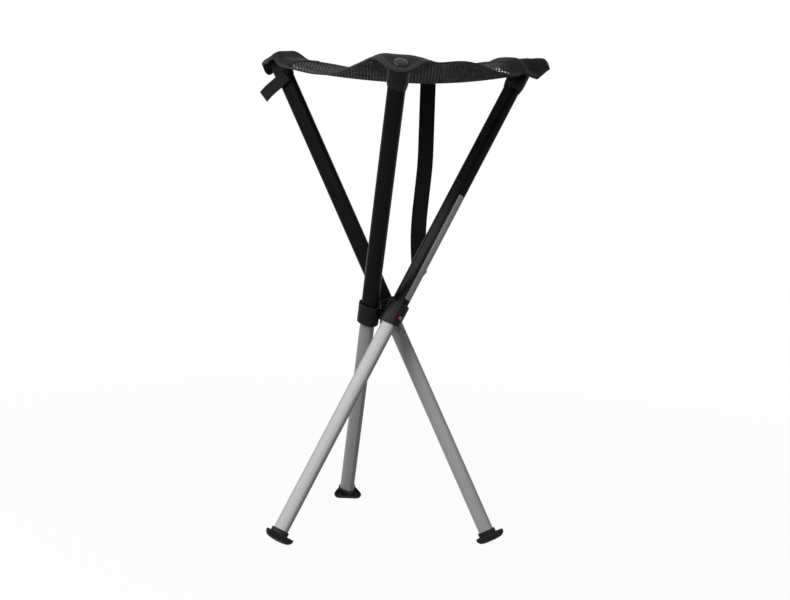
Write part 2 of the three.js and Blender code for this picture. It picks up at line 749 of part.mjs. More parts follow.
function carryStrap(from, to) {
  const line = edgeLine(from, to, HEM_WIDTH / 2);
  const reach = STRAP_EDGE_SHARE * EDGE_STEPS;
  const step = Math.floor(reach);
  const top = line[step].clone().lerp(line[step + 1], reach - step);
  top.z -= HEM_THICKNESS / 2 + GAP;
  const along = line[EDGE_STEPS].clone().sub(line[0]).setZ(0).normalize();
  const through = new THREE.Vector3(-along.y, along.x, 0).multiplyScalar(STRAP_THICKNESS / 2);
  const dip = Math.abs(line[step + 1].z - line[step].z) / line[step + 1].distanceTo(line[step]);
  const stations = [
    [STRAP_WIDTH, dip * STRAP_WIDTH / 2],
    [STRAP_WIDTH, STRAP_LENGTH - STRAP_POINT],
    [STRAP_POINT_WIDTH, STRAP_LENGTH],
  ];
  return loft(stations.map(([width, depth]) => (
    [[-1, -1], [1, -1], [1, 1], [-1, 1]].map(([side, face]) => {
      const place = top.clone().addScaledVector(along, side * width / 2);
      place.addScaledVector(through, face);
      place.z -= depth;
      return place;
    })
  )));
}

function hubCore(placed) {
  const half = HUB_HEIGHT / 2;
  const turn = placed[0].bearing + HALF_TURN / 2;
  const core = loft([-half, half].map((height) => triangleRing(
    HUB_INRADIUS, HUB_CORNER_RADIUS, turn, CORNER_STEPS, height,
  )));
  const aim = (geometry, leg) => geometry.rotateZ(leg.bearing + HALF_TURN);
  const bosses = placed.map((leg) => aim(
    turnedAcross([[HUB_BOSS_RADIUS, 0], [HUB_BOSS_RADIUS, HUB_BOSS_FACE]]), leg,
  ));
  const bores = placed.map((leg) => aim(turnedAcross([
    [PIN_RADIUS + GAP, PIN_END_FROM_AXIS - GAP],
    [PIN_RADIUS + GAP, HUB_BOSS_FACE + GAP],
  ]), leg));
  return shaped([core, ...bosses], bores);
}

function finish(color, roughness, metalness) {
  return () => new THREE.MeshStandardMaterial({ color, roughness, metalness });
}

const FINISHES = {
  blackTube: finish(0x17181a, 0.4, 0.6),
  bareTube: finish(0xb9bcc0, 0.35, 0.9),
  moulded: finish(0x141416, 0.55, 0),
  red: finish(0xc21a14, 0.4, 0),
  bush: finish(0x2b2c2e, 0.6, 0),
  steel: finish(0x9a9da1, 0.35, 0.9),
  rubber: finish(0x191919, 0.85, 0),
  patch: finish(0x1d1e20, 0.9, 0),
  mesh: finish(0x26282b, 0.95, 0),
  hem: finish(0x4a4d50, 0.9, 0),
  webbing: finish(0x1b1b1d, 0.9, 0),
};

function piece(name, geometry, material) {
  const mesh = new THREE.Mesh(geometry, material());
  mesh.geometry.computeVertexNormals();
  mesh.name = name;
  return mesh;
}

// Height of the leg's crossing with the hub that sets the sole's lowest edge on the ground,
// pressed flat by CONTACT_FLAT
function waistHeight(footGeometry) {
  const position = footGeometry.attributes.position;
  const point = new THREE.Vector3();
  const upright = new THREE.Vector3(0, 1, 0);
  let lowest = 0;
  for (let corner = 0; corner < position.count; corner += 1) {
    point.fromBufferAttribute(position, corner).applyAxisAngle(upright, LEG_LEAN);
    lowest = Math.min(lowest, point.z);
  }
  return -lowest - CONTACT_FLAT;
}

function legFrame(leg, waist) {
  const group = new THREE.Group();
  const inHub = leg.bearing - HALF_TURN / 2;
  group.name = `leg_${leg.name}`;
  group.position.set(Math.cos(inHub) * WAIST_RADIUS, Math.sin(inHub) * WAIST_RADIUS, waist);
  group.rotation.set(0, LEG_LEAN, leg.bearing, 'ZYX');
  group.updateMatrixWorld(true);
  return { ...leg, group, topHeight: waist + UPPER_REACH * Math.cos(LEG_LEAN) };
}

function standing(footGeometry, group) {
  const size = LOWER_REACH;
  const ground = new THREE.BoxGeometry(4 * size, 4 * size, size);
  ground.translate(0, 0, -size / 2);
  ground.applyMatrix4(group.matrixWorld.clone().invert());
  return shaped([footGeometry], [ground]);
}

function build() {
  const stool = new THREE.Group();
  const plainFoot = foot();
  const waist = waistHeight(plainFoot);
  const placed = LEGS.map((leg) => legFrame(leg, waist));
  const core = piece('hub_core', hubCore(placed), FINISHES.moulded);
  core.position.z = waist;
  stool.add(core);
  const legPieces = [
    ['pivot_pin', pivotPin, FINISHES.steel],
    ['hub_sleeve', hubSleeve, FINISHES.moulded],
    ['outer_tube', outerTube, FINISHES.blackTube],
    ['top_cap', topCap, FINISHES.moulded],
    ['corner_patch', cornerPatch, FINISHES.patch],
    ['seat_rivet', seatRivet, FINISHES.moulded],
    ['lock_button', lockButton, FINISHES.red],
    ['inner_tube', innerTube, FINISHES.bareTube],
    ['glide_bush', glideBush, FINISHES.bush],
    ['lock_spring', lockSpring, FINISHES.steel],
  ];
  placed.forEach((leg, place) => {
    for (const [name, make, material] of legPieces) {
      leg.group.add(piece(`${name}_${leg.name}`, make(leg), material));
    }
    leg.group.add(piece(`foot_${leg.name}`, standing(plainFoot, leg.group), FINISHES.rubber));
    stool.add(leg.group);
    const next = placed[(place + 1) % placed.length];
    stool.add(piece(`seat_hem_${leg.name}`, seatHem(leg, next), FINISHES.hem));
  });
  const [, right, left] = placed;
  left.group.add(piece('strap_tail', strapTail(), FINISHES.webbing));
  stool.add(piece('seat_panel', seatPanel(placed), FINISHES.mesh));
  stool.add(piece('carry_strap', carryStrap(right, left), FINISHES.webbing));
  return stool;
}

// Origin under the middle of the box, on the ground
function centred(stool) {
  stool.updateMatrixWorld(true);
  const box = new THREE.Box3().setFromObject(stool, true);
  const middle = box.getCenter(new THREE.Vector3());
  stool.position.set(-middle.x, -middle.y, -box.min.z);
  stool.updateMatrixWorld(true);
  return stool;
}

export default centred(build());
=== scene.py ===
"""Looks of the collapsible telescopic stool: camera, materials, cloth, webbing, stage and light."""
import json
import math

import bmesh
import bpy
import numpy as np
from mathutils import Matrix, Vector, noise

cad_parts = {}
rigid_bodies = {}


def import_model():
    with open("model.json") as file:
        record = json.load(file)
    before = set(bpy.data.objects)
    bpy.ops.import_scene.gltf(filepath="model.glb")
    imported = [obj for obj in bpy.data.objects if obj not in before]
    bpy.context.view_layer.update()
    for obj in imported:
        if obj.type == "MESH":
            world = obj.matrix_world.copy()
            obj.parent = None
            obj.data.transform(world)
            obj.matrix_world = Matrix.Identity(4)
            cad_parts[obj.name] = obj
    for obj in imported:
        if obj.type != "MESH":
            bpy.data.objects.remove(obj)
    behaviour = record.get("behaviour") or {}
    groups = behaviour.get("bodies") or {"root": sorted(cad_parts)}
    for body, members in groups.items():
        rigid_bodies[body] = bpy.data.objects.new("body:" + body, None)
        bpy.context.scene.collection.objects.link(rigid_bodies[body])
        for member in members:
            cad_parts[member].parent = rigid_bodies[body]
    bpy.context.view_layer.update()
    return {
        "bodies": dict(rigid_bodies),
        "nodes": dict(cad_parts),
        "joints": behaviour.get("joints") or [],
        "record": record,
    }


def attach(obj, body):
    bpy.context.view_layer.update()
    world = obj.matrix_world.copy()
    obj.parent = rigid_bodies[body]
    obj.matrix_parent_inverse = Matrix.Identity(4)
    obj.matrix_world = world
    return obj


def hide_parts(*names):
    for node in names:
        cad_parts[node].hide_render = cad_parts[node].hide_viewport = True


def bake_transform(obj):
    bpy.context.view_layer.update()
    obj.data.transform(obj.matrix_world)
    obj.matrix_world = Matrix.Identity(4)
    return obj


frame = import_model()
nodes = frame["nodes"]
joints = {joint["name"]: joint for joint in frame["joints"]}

LEGS = ("front", "right", "left")
HUB = sum((Vector(joints[f"fold_{leg}"]["pos_m"]) for leg in LEGS), Vector()) / len(LEGS)


def leg_frame(leg):
    """Leg's own axes: Z up the leg, Y to the hub's axis, origin at its fold joint."""
    up = Vector(joints[f"slide_{leg}"]["axis"]).normalized()
    inward = -Vector(joints[f"fold_{leg}"]["axis"]).normalized()
    matrix = Matrix((inward.cross(up), inward, up)).transposed().to_4x4()
    matrix.translation = Vector(joints[f"fold_{leg}"]["pos_m"])
    return matrix


FRAMES = {leg: leg_frame(leg) for leg in LEGS}


def add_object(name, data):
    obj = bpy.data.objects.new(name, data)
    bpy.context.scene.collection.objects.link(obj)
    return obj


# Photograph's view: a pinhole behind the picture's middle
PICTURE_WIDTH = 790
FOCAL_PX = 1826.4
SENSOR_MM = 36
EYE_FROM_HUB = Vector((-0.3070, -2.8178, 0.3945))
YAW, PITCH, ROLL = 0.1137, 0.1301, 0.0625
VIEW_NEAR, VIEW_FAR = 0.05, 60


def make_camera():
    data = bpy.data.cameras.new("camera")
    camera = add_object("camera", data)
    ahead = Vector((
        math.sin(YAW) * math.cos(PITCH), math.cos(YAW) * math.cos(PITCH), -math.sin(PITCH)))
    level = Vector((math.cos(YAW), -math.sin(YAW), 0))
    rise = level.cross(ahead)
    right = math.cos(ROLL) * level + math.sin(ROLL) * rise
    up = math.cos(ROLL) * rise - math.sin(ROLL) * level
    camera.matrix_world = Matrix((right, up, -ahead)).transposed().to_4x4()
    camera.location = HUB + EYE_FROM_HUB
    data.sensor_fit = "HORIZONTAL"
    data.sensor_width = SENSOR_MM
    data.lens = FOCAL_PX / PICTURE_WIDTH * SENSOR_MM
    data.clip_start, data.clip_end = VIEW_NEAR, VIEW_FAR
    bpy.context.scene.camera = camera


make_camera()


# Materials
WAVE_LENGTH = 0.314  # in metres, of a wave texture at scale 1
NOISE_LOW, NOISE_HIGH = 0.3, 0.7  # a noise texture seldom leaves this range


class Nodes:
    """Short names for building a node tree."""

    def __init__(self, tree):
        self.tree = tree

    def add(self, kind, inputs=None, **settings):
        node = self.tree.nodes.new(kind)
        for key, value in settings.items():
            setattr(node, key, value)
        for key, value in (inputs or {}).items():
            self.feed(node, key, value)
        return node

    def feed(self, node, key, value):
        if isinstance(value, bpy.types.NodeSocket):
            self.tree.links.new(value, node.inputs[key])
        else:
            node.inputs[key].default_value = value

    def place(self, matrix=None):
        """Rest coordinates in metres, turned into the frame that matrix stands for."""
        socket = self.add("ShaderNodeTexCoord").outputs["Object"]
        if matrix is None:
            return socket
        inverse = matrix.inverted()
        turn = self.add("ShaderNodeMapping", {
            "Vector": socket, "Rotation": inverse.to_euler("XYZ"),
            "Location": inverse.to_translation()}, vector_type="POINT")
        return turn.outputs["Vector"]

    def scaled(self, vector, scale):
        node = self.add("ShaderNodeVectorMath", {0: vector, 1: scale}, operation="MULTIPLY")
        return node.outputs["Vector"]

    def noise(self, vector, scale, detail=3.0, rough=0.5):
        node = self.add("ShaderNodeTexNoise", {
            "Vector": vector, "Scale": scale, "Detail": detail, "Roughness": rough})
        return node.outputs["Fac"]

    def streaks(self, vector, scale, detail=3.0, rough=0.5):
        """Noise with a scale of its own along each axis."""
        return self.noise(self.scaled(vector, scale), 1.0, detail, rough)

    def wave(self, vector, pitch, direction, **inputs):
        """Soft bands at a pitch in metres, one after the other along an axis."""
        named = {key.replace("_", " "): value for key, value in inputs.items()}
        node = self.add("ShaderNodeTexWave", {
            "Vector": vector, "Scale": WAVE_LENGTH / pitch, **named}, bands_direction=direction)
        return node.outputs["Fac"]

    def remap(self, value, low, high, new_low, new_high):
        node = self.add("ShaderNodeMapRange", {
            0: value, 1: low, 2: high, 3: new_low, 4: new_high})
        return node.outputs["Result"]

    def spread(self, value, new_low, new_high):
        """Noise that fills the range from one number to another."""
        return self.remap(value, NOISE_LOW, NOISE_HIGH, new_low, new_high)

    def mix(self, share, first, second):
        node = self.add("ShaderNodeMix", {6: first, 7: second}, data_type="RGBA")
        self.feed(node, 0, share)
        return node.outputs[2]

    def math(self, operation, first, second):
        node = self.add("ShaderNodeMath", {0: first, 1: second}, operation=operation)
        return node.outputs[0]

    def bump(self, height, strength, distance):
        node = self.add("ShaderNodeBump", {
            "Height": height, "Strength": strength, "Distance": distance})
        return node.outputs["Normal"]

    def background_rays(self):
        """1 for rays that show the background, straight, mirrored or through glass, else 0."""
        path = self.add("ShaderNodeLightPath")
        seen = self.math("MAXIMUM", path.outputs["Is Camera Ray"], path.outputs["Is Glossy Ray"])
        return self.math("MAXIMUM", seen, path.outputs["Is Transmission Ray"])


class Surface(Nodes):
    """A material and its node tree."""

    def __init__(self, name):
        self.material = bpy.data.materials.new(name)
        self.material.use_nodes = True
        super().__init__(self.material.node_tree)

    def set(self, **inputs):
        shader = self.tree.nodes["Principled BSDF"]
        for key, value in inputs.items():
            self.feed(shader, key.replace("_", " "), value)
        return self.material


def grey(level):
    return (level, level, level, 1)


def dark_tube(leg):
    n = Surface(f"dark_tube_{leg}")
    place = n.place(FRAMES[leg])
    streaks = n.streaks(place, (900, 900, 6), 4.0, 0.6)
    cloud = n.noise(place, 14.0, 2.0)
    return n.set(
        Base_Color=n.mix(
            n.spread(streaks, 0, 1), (0.0030, 0.0031, 0.0033, 1), (0.0070, 0.0072, 0.0076, 1)),
        Roughness=n.math("ADD", n.spread(streaks, 0.24, 0.30), n.spread(cloud, 0, 0.04)),
        Specular_IOR_Level=0.06,
        Normal=n.bump(streaks, 0.015, 0.0001))


def bare_tube(leg):
    n = Surface(f"bare_tube_{leg}")
    place = n.place(FRAMES[leg])
    streaks = n.streaks(place, (1100, 1100, 5), 5.0, 0.65)
    bands = n.streaks(place, (260, 260, 3), 2.0)
    colour = n.mix(
        n.remap(streaks, 0.25, 0.75, 0, 1), (0.40, 0.403, 0.41, 1), (0.54, 0.543, 0.55, 1))
    return n.set(
        Base_Color=n.mix(n.remap(bands, 0.35, 0.65, 0, 0.35), colour, (0.36, 0.365, 0.38, 1)),
        Metallic=0.08,
        Specular_IOR_Level=0.3,
        Roughness=n.spread(streaks, 0.38, 0.5),
        Normal=n.bump(streaks, 0.04, 0.0002))


def moulded(name, level, rough, gloss):
    n = Surface(name)
    place = n.place()
    grain = n.noise(place, 1800.0, 2.0)
    wear = n.noise(place, 60.0, 4.0)
    return n.set(
        Base_Color=n.mix(n.remap(wear, 0.35, 0.75, 0, 1), grey(level * 0.8), grey(level * 1.5)),
        Roughness=n.spread(wear, rough - 0.05, rough + 0.08),
        Specular_IOR_Level=gloss,
        Normal=n.bump(grain, 0.15, 0.0001))


def red_button():
    n = Surface("button_red")
    place = n.place()
    grain = n.noise(place, 900.0, 2.0)
    cloud = n.noise(place, 300.0, 2.0)
    return n.set(
        Base_Color=n.mix(cloud, (0.32, 0.006, 0.026, 1), (0.46, 0.015, 0.05, 1)),
        Roughness=n.spread(cloud, 0.22, 0.34),
        Coat_Weight=0.6,
        Normal=n.bump(grain, 0.04, 0.0001))


def steel():
    n = Surface("steel")
    scratch = n.streaks(n.place(), (1500, 1500, 200))
    return n.set(
        Base_Color=n.mix(scratch, grey(0.35), grey(0.5)),
        Metallic=0.9,
        Roughness=n.spread(scratch, 0.28, 0.42),
        Normal=n.bump(scratch, 0.06, 0.0001))


def rubber():
    n = Surface("rubber")
    place = n.place()
    grain = n.noise(place, 1300.0)
    dust = n.noise(place, 45.0, 5.0, 0.6)
    return n.set(
        Base_Color=n.mix(n.remap(dust, 0.45, 0.8, 0, 1), grey(0.006), grey(0.016)),
        Roughness=n.spread(dust, 0.5, 0.68),
        Specular_IOR_Level=0.2,
        Normal=n.bump(grain, 0.25, 0.0002))


def woven(name, level, pitch, sheen):
    """Close plain weave in a dark cloth."""
    n = Surface(name)
    place = n.place()
    turned = n.add("ShaderNodeMapping", {
        "Vector": place, "Rotation": (0, 0, RIB_TURN)}).outputs["Vector"]
    warp, weft = (n.wave(turned, pitch, way, Distortion=0.6, Detail=1.0) for way in "XY")
    weave = n.math("MULTIPLY", warp, weft)
    cloud = n.noise(place, 70.0, 4.0, 0.6)
    colour = n.mix(n.remap(weave, 0.1, 0.9, 0, 1), grey(level * 0.7), grey(level * 1.5))
    return n.set(
        Base_Color=n.mix(n.remap(cloud, 0.35, 0.75, 0, 0.35), colour, grey(level * 2.2)),
        Roughness=n.spread(cloud, 0.62, 0.8),
        Sheen_Weight=sheen,
        Sheen_Roughness=0.5,
        Specular_IOR_Level=0.08,
        Normal=n.bump(weave, 0.35, 0.0003))


def ribbed_mesh():
    """Mesh yarn: pale along the ribs' crests, a painted highlight, and darker on the threads
    between them, painted shade.
    """
    n = Surface("mesh_cloth")
    place = n.place(Matrix.Translation(HUB) @ Matrix.Rotation(RIB_TURN, 4, "Z"))
    ribs = n.wave(place, RIB_PITCH, "X", Phase_Offset=math.pi / 2)
    yarn = n.wave(place, YARN_PITCH, "Y", Distortion=0.5, Detail=1.0)
    cloud = n.noise(place, 60.0, 4.0, 0.6)
    # Painted highlight along the ribs' crests and painted shade between the ribs
    colour = n.mix(ribs, grey(0.008), grey(0.085))
    colour = n.mix(n.remap(yarn, 0.2, 0.8, 0, 0.4), colour, grey(0.012))
    return n.set(
        Base_Color=n.mix(n.remap(cloud, 0.35, 0.75, 0, 0.3), colour, grey(0.03)),
        Roughness=n.spread(cloud, 0.6, 0.78),
        Sheen_Weight=0.03,
        Sheen_Roughness=0.5,
        Specular_IOR_Level=0.1,
        Normal=n.bump(yarn, 0.3, 0.0003))


def ribbed_webbing():
    """Webbing of the tail: a near-black ground with pale lengthwise lines on its ribs, a painted
    highlight.
    """
    n = Surface("tail_webbing")
    place = n.place(FRAMES["left"] @ Matrix.Rotation(TAIL_DIP, 4, "Y"))
    ribs = n.wave(place, TAIL_WIDTH / TAIL_RIBS, "Z", Distortion=0.3)
    yarn = n.streaks(place, (900, 900, 300))
    # Pale lines on the ribs: a painted highlight
    colour = n.mix(n.remap(ribs, 0.45, 0.95, 0, 1), grey(0.003), grey(0.034))
    return n.set(
        Base_Color=n.mix(n.spread(yarn, 0, 0.4), colour, grey(0.006)),
        Roughness=n.spread(yarn, 0.6, 0.75),
        Specular_IOR_Level=0.1,
        Normal=n.bump(ribs, 0.4, 0.0006))


def silver_plate():
    n = Surface("silver_plate")
    streaks = n.streaks(n.place(FRAMES["right"]), (1300, 1300, 30), 4.0, 0.6)
    return n.set(
        Base_Color=n.mix(n.spread(streaks, 0, 1), grey(0.20), grey(0.27)),
        Metallic=0.2,
        Roughness=n.spread(streaks, 0.3, 0.42),
        Normal=n.bump(streaks, 0.08, 0.0001))


# CAD pieces that stay as they are, apart from their material and shading
SHARP_ANGLE = math.radians(32)


def give(node, material):
    mesh = nodes[node].data
    mesh.materials.clear()
    mesh.materials.append(material)


def smooth_cad():
    for obj in nodes.values():
        mesh = obj.data
        mesh.polygons.foreach_set("use_smooth", [True] * len(mesh.polygons))
        mesh.set_sharp_from_angle(angle=SHARP_ANGLE)


moulding = moulded("moulded", 0.006, 0.42, 0.12)
bush = moulded("bush", 0.03, 0.5, 0.12)
rivet_cover = moulded("rivet_cover", 0.008, 0.34, 0.28)
button = red_button()
pin_steel = steel()
foot_rubber = rubber()
give("hub_core", moulding)
for leg in LEGS:
    give(f"pivot_pin_{leg}", pin_steel)
    give(f"hub_sleeve_{leg}", moulding)
    give(f"top_cap_{leg}", moulding)
    give(f"seat_rivet_{leg}", rivet_cover)
    give(f"outer_tube_{leg}", dark_tube(leg))
    give(f"inner_tube_{leg}", bare_tube(leg))
    give(f"glide_bush_{leg}", bush)
    give(f"lock_spring_{leg}", pin_steel)
    give(f"lock_button_{leg}", button)
    give(f"foot_{leg}", foot_rubber)
smooth_cad()


# Lengths in metres that repeat the source's, for the cloth's place on the legs
LEG_LEAN = math.radians(30)
WAIST_RADIUS = 0.024
UPPER_REACH = 0.450
GAP = 0.0003
CLOTH_BASE = UPPER_REACH + GAP
CAP_HALF = 0.01708
SIDE_RADIUS = 0.045
SIDE_CENTRE = 0.0333
CAP_OUTSIDE = 0.00275
TUBE_CORNER_CENTRE = 0.007308
TUBE_CORNER_RADIUS = 0.0075

# Seat cloth, fitted to the photograph. A corner's cloth runs from a ridge on the seat's side of
# the rivet to a flap's end beyond it, and both halves are bent at (start, degrees, radius)
CLOTH_THICKNESS = 0.0018
RIDGE_REACH = 0.032
RIDGE_HALF = 0.046
RISE_START = 0.014
FLAP_END_RADIUS = 0.011
CORNERS = {
    "front": {
        "flap": 0.024, "flap_half": 0.015,
        "flap_bends": ((CAP_HALF, 8, 0.004),),
        "ridge_bends": ((CAP_HALF, 15, 0.004),), "ridge_rise": 0.0,
        "puff": 0.0, "side_slope": 0.0, "side_drops": (0.0106, 0.0048),
        "edge_drop": (-0.0064, 0.0081, 0.0206)},
    "right": {
        "flap": 0.041, "flap_half": 0.028,
        "flap_bends": ((0.001, -50, 0.008), (0.0265, 96, 0.008)),
        "ridge_bends": ((CAP_HALF, 32, 0.004),), "ridge_rise": 0.0105,
        "puff": 0.021, "side_slope": 0.0, "side_drops": (0.0255, 0.006),
        "edge_drop": (0.0195, 0.0, -0.016)},
    "left": {
        "flap": 0.040, "flap_half": 0.011,
        "flap_bends": ((0.016, 64, 0.002),),
        "ridge_bends": ((0.016, 56, 0.002),), "ridge_rise": -0.005,
        "puff": 0.0, "side_slope": 0.85, "side_drops": (0.005, 0.010),
        "edge_drop": (0.0165, 0.001, -0.009)},
}
# Puff beside the rivet: its share of the full height along the cloth, and its width
PUFF_REACH = (
    -0.032, -0.026, -0.020, -0.014, -0.008, -0.002, 0.004,
    0.010, 0.016, 0.022, 0.028, 0.034, 0.041)
PUFF_SHARES = (0, 0.08, 0.30, 0.55, 0.74, 0.89, 1, 0.98, 0.90, 0.80, 0.71, 0.66, 0.45)
PUFF_SPAN = 0.034
SLOPE_START, SLOPE_FULL = -0.024, 0.004
PATH_STEP = 0.0005
EDGE_BOW = 0.008
EDGE_STEPS = 60
RIDGE_STEPS = 12
CENTRE_SAG = 0.0285
SAG_POWER = 2
CORNER_TURN = math.atan2(WAIST_RADIUS, UPPER_REACH * math.sin(LEG_LEAN))
CLOTH_TURN = math.atan2(math.sin(CORNER_TURN), math.cos(CORNER_TURN) / math.cos(LEG_LEAN))
CENTRE_HEIGHT = HUB.z + UPPER_REACH * math.cos(LEG_LEAN) - CENTRE_SAG


def cloth_path(bends, length):
    """Run of a corner cloth away from the rivet: reach, out, down and slope at even steps."""
    reach = np.arange(0, length + 2 * PATH_STEP, PATH_STEP)
    slope = np.zeros(len(reach))
    for start, degrees, radius in bends:
        turn = math.radians(degrees)
        slope += turn * np.clip((reach - start) / (radius * abs(turn)), 0, 1)
    middle = (slope[1:] + slope[:-1]) / 2
    out = np.concatenate(([0], np.cumsum(np.cos(middle) * PATH_STEP)))
    down = np.concatenate(([0], np.cumsum(np.sin(middle) * PATH_STEP)))
    return reach, out, down, slope


PATHS = {(leg, way): cloth_path(corner[way + "_bends"], max(corner["flap"], RIDGE_REACH))
         for leg, corner in CORNERS.items() for way in ("flap", "ridge")}


def clamped(value, high=1):
    return min(max(value, 0), high)


def eased(share):
    """Share between 0 and 1, with a level start and end."""
    share = clamped(share)
    return share * share * (3 - 2 * share)


def cloth_place(leg, reach, across):
    """Point in the middle of a corner's cloth: along it from the rivet, and across it."""
    corner = CORNERS[leg]
    steps, *path = PATHS[leg, "flap" if reach > 0 else "ridge"]
    out, down, slope = (float(np.interp(abs(reach), steps, values)) for values in path)
    lift = CLOTH_THICKNESS / 2
    out = math.copysign(out + lift * math.sin(slope), reach)
    height = CLOTH_BASE + lift * math.cos(slope) - down
    cos, sin = math.cos(CLOTH_TURN), math.sin(CLOTH_TURN)
    place = FRAMES[leg] @ Vector((out * cos + across * sin, across * cos - out * sin, height))
    side = max(abs(across) - CAP_HALF, 0) / (RIDGE_HALF - CAP_HALF)
    place.z += corner["ridge_rise"] * eased((-reach - RISE_START) / (RIDGE_REACH - RISE_START))
    swell = math.sin(math.pi * min(abs(across) / PUFF_SPAN, 1)) ** 2
    place.z += corner["puff"] * swell * float(np.interp(reach, PUFF_REACH, PUFF_SHARES))
    over = max(across - CAP_HALF, 0) * eased((reach - SLOPE_START) / (SLOPE_FULL - SLOPE_START))
    place.z -= corner["side_slope"] * over
    place.z -= corner["side_drops"][int(across > 0)] * side ** 2
    return place


def outward(leg):
    """Level direction from the hub to a leg's corner."""
    aim = FRAMES[leg] @ Vector((0, 0, UPPER_REACH)) - HUB
    return Vector((aim.x, aim.y, 0)).normalized()


OUTWARD = {leg: outward(leg) for leg in LEGS}
SIDEWAYS = {leg: Vector((-aim.y, aim.x, 0)) for leg, aim in OUTWARD.items()}
FOLLOWING = {leg: LEGS[(place + 1) % len(LEGS)] for place, leg in enumerate(LEGS)}


def edge_line(leg):
    """Seat's edge from a leg's corner to the following one's."""
    start = cloth_place(leg, -RIDGE_REACH, RIDGE_HALF)
    end = cloth_place(FOLLOWING[leg], -RIDGE_REACH, -RIDGE_HALF)
    inward = Vector((start.y - end.y, end.x - start.x, 0)).normalized()
    level, lean, spread = CORNERS[leg]["edge_drop"]
    line = []
    for step in range(EDGE_STEPS + 1):
        share = step / EDGE_STEPS
        swell = 4 * share * (1 - share)
        off = 2 * share - 1
        drop = level + lean * off + spread * off ** 2
        bow = inward * EDGE_BOW * swell
        line.append(start.lerp(end, share) + bow - Vector((0, 0, drop * swell)))
    return line


EDGES = {leg: edge_line(leg) for leg in LEGS}


def seat_border():
    """Seat's outline from above, ridges included, as points about the hub's axis."""
    points = []
    for leg in LEGS:
        points += EDGES[leg]
        for step in range(1, RIDGE_STEPS):
            across = RIDGE_HALF * (2 * step / RIDGE_STEPS - 1)
            points.append(cloth_place(FOLLOWING[leg], -RIDGE_REACH, across))
    border = np.array([point - HUB for point in points])
    border[:, 2] += HUB.z
    return border


BORDER = seat_border()
BORDER_ANGLE = np.arctan2(BORDER[:, 1], BORDER[:, 0])
BORDER_RADIUS = np.hypot(BORDER[:, 0], BORDER[:, 1])


def at_border(x, y, values):
    """Values of the seat's border in the directions of places about the hub's axis."""
    return np.interp(np.arctan2(y, x), BORDER_ANGLE, values, period=2 * math.pi)


def seat_height(x, y):
    """Height of the seat cloth's middle surface over places about the hub's axis."""
    rim = at_border(x, y, BORDER[:, 2])
    share = np.hypot(x, y) / at_border(x, y, BORDER_RADIUS)
    return CENTRE_HEIGHT + (rim - CENTRE_HEIGHT) * share ** SAG_POWER


def new_object(name, vertices, faces, material):
    mesh = bpy.data.meshes.new(name)
    mesh.from_pydata([tuple(vertex) for vertex in vertices], [], faces)
    mesh.materials.append(material)
    mesh.polygons.foreach_set("use_smooth", [True] * len(faces))
    return add_object(name, mesh)


def settle(obj):
    """Turn an object's modifiers into its own mesh."""
    graph = bpy.context.evaluated_depsgraph_get()
    mesh = bpy.data.meshes.new_from_object(obj.evaluated_get(graph))
    obj.modifiers.clear()
    obj.data = mesh
    return obj


def thicken(obj, thickness, smooth_levels=0):
    solid = obj.modifiers.new("solid", "SOLIDIFY")
    solid.thickness = thickness
    solid.offset = 0
    if smooth_levels:
        rounder = obj.modifiers.new("rounder", "SUBSURF")
        rounder.levels = smooth_levels
        rounder.render_levels = smooth_levels
    return settle(obj)


def face_out(obj):
    sheet = bmesh.new()
    sheet.from_mesh(obj.data)
    bmesh.ops.recalc_face_normals(sheet, faces=sheet.faces)
    sheet.to_mesh(obj.data)
    sheet.free()


def grid_faces(rows, columns):
    return [(row * columns + column, row * columns + column + 1,
             (row + 1) * columns + column + 1, (row + 1) * columns + column)
            for row in range(rows - 1) for column in range(columns - 1)]


def tube_faces(rings, count):
    """Faces round a run of closed rings, without the ends."""
    return [(ring * count + i, ring * count + (i + 1) % count,
             (ring + 1) * count + (i + 1) % count, (ring + 1) * count + i)
            for ring in range(rings - 1) for i in range(count)]


def closed_tube_faces(rings, count):
    """Faces round a run of closed rings, and one face at each end."""
    last = (rings - 1) * count
    ends = [tuple(range(count))[::-1], tuple(range(last, last + count))]
    return tube_faces(rings, count) + ends


def smoothed(values, turns):
    """Values along a line, each moved towards its neighbours, with the ends kept."""
    for turn in range(turns):
        values[1:-1] = (values[:-2] + 2 * values[1:-1] + values[2:]) / 4
    return values


def run_along(points):
    """Length along a line up to each of its points."""
    steps = np.linalg.norm(np.diff(points, axis=0), axis=1)
    return np.concatenate(([0], np.cumsum(steps)))


def fold_with(obj):
    """Put a piece's place into its own mesh."""
    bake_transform(obj)


# Mesh cloth: ribs that run from front to back, with cross threads and open holes between
RIB_TURN = math.radians(-6.1)
RIB_PITCH = 0.0048
RIB_WIDTH = 0.0026
RIB_CREST = 0.0005
YARN_PITCH = 0.0009
THREAD_PITCH = 0.0032
THREAD_WIDTH = 0.0013
MESH_THICKNESS = 0.0009
MESH_FROM_EDGE = 0.005
PANEL_INSIDE_RIDGE = 0.020
SEAM_OVERLAP = 0.003
SEAT_SPAN = 0.24
BORDER_PARTS = 8


def mesh_lines(pitch, offsets):
    count = math.ceil(SEAT_SPAN / pitch)
    return np.array([
        step * pitch + offset for step in range(-count, count + 1) for offset in offsets])


def ridge_distance(leg):
    """Level distance of a corner's ridge from the hub's axis."""
    return (cloth_place(leg, -RIDGE_REACH, 0) - HUB).dot(OUTWARD[leg])


def within_hems(x, y):
    """Whether places about the hub's axis are in the seat and far enough from its border."""
    parts = np.array_split(np.arange(len(BORDER)), BORDER_PARTS)
    edge = np.min([
        np.min(np.hypot(x[..., None] - BORDER[part, 0], y[..., None] - BORDER[part, 1]), axis=-1)
        for part in parts], axis=0)
    return (np.hypot(x, y) < at_border(x, y, BORDER_RADIUS)) & (edge > MESH_FROM_EDGE)


